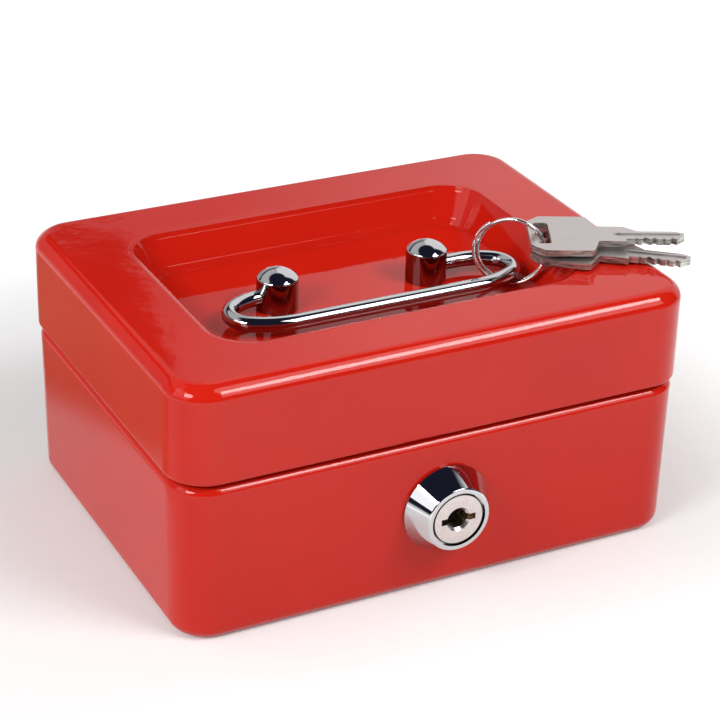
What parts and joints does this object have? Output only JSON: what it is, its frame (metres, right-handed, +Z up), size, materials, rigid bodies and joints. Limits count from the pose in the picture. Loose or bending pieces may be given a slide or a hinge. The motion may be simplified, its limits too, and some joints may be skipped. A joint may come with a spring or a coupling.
{
  "type": "cash box",
  "caption": "Small red steel cash box with a sunk well and folding wire handle in the lid, a front cam lock and keys on a split ring.",
  "frame": {"origin": "centre of the flat underside of the base, on the surface the box stands on", "axes": "+X to the right along the front wall, the front wall with the lock faces -Y, +Z up"},
  "size_m": [0.1334, 0.1007, 0.0694],
  "materials": {
    "red_enamel": "gloss baked enamel on deep-drawn steel sheet",
    "bright_chrome": "polished chrome plate",
    "nickel": "nickel plate, semi-bright",
    "zinc_steel": "zinc plated steel, satin",
    "black_plastic": "moulded polystyrene, fine satin",
    "brass": "stamped, uncoated"
  },
  "bodies": {
    "base": {"base_pan": "red_enamel", "tray_ledge_left": "red_enamel", "tray_ledge_right": "red_enamel", "hinge_leaf_base": "zinc_steel", "hinge_pin": "zinc_steel", "lock_housing": "bright_chrome", "lock_washer": "zinc_steel", "lock_nut": "zinc_steel"},
    "lid": {"lid_shell": "red_enamel", "hinge_leaf_lid": "zinc_steel", "lid_catch": "zinc_steel", "handle_post_left": "bright_chrome", "handle_post_right": "bright_chrome", "post_washers": "zinc_steel", "post_nuts": "zinc_steel"},
    "bail": {"bail": "bright_chrome"},
    "plug": {"lock_plug": "nickel", "lock_wafers": "brass", "lock_cam": "zinc_steel", "cam_screw": "zinc_steel"},
    "tray": {"coin_tray": "black_plastic"},
    "ring": {"key_ring": "nickel"},
    "key_lower": {"key_lower": "nickel"},
    "key_upper": {"key_upper": "nickel"}
  },
  "joints": [
    {"name": "lid_hinge", "type": "hinge", "parent": "base", "child": "lid", "pos_m": [0, 0.04625, 0.0382], "axis": [-1, 0, 0], "range_deg": [0, 105]},
    {"name": "bail_lift", "type": "hinge", "parent": "lid", "child": "bail", "pos_m": [0, 0.0002, 0.0555], "axis": [-1, 0, 0], "range_deg": [0, 85]},
    {"name": "lock_turn", "type": "hinge", "parent": "base", "child": "plug", "pos_m": [0.0005, -0.04604, 0.02035], "axis": [0, 1, 0], "range_deg": [0, 90]},
    {"name": "tray_lift", "type": "slide", "parent": "base", "child": "tray", "axis": [0, 0, 1], "range_m": [0, 0.009]},
    {"name": "ring_turn", "type": "hinge", "parent": "bail", "child": "ring", "pos_m": [0.03476, -0.01062, 0.0611], "axis": [-0.573, -0.8184, -0.0436], "range_deg": [0, 10]},
    {"name": "key_lower_swing", "type": "hinge", "parent": "ring", "child": "key_lower", "pos_m": [0.04126, -0.01527, 0.0629], "axis": [0, 0, 1], "range_deg": [-10, 0]},
    {"name": "key_upper_swing", "type": "hinge", "parent": "ring", "child": "key_upper", "pos_m": [0.04047, -0.01483, 0.06505], "axis": [0, 0, 1], "range_deg": [0, 10]}
  ]
}
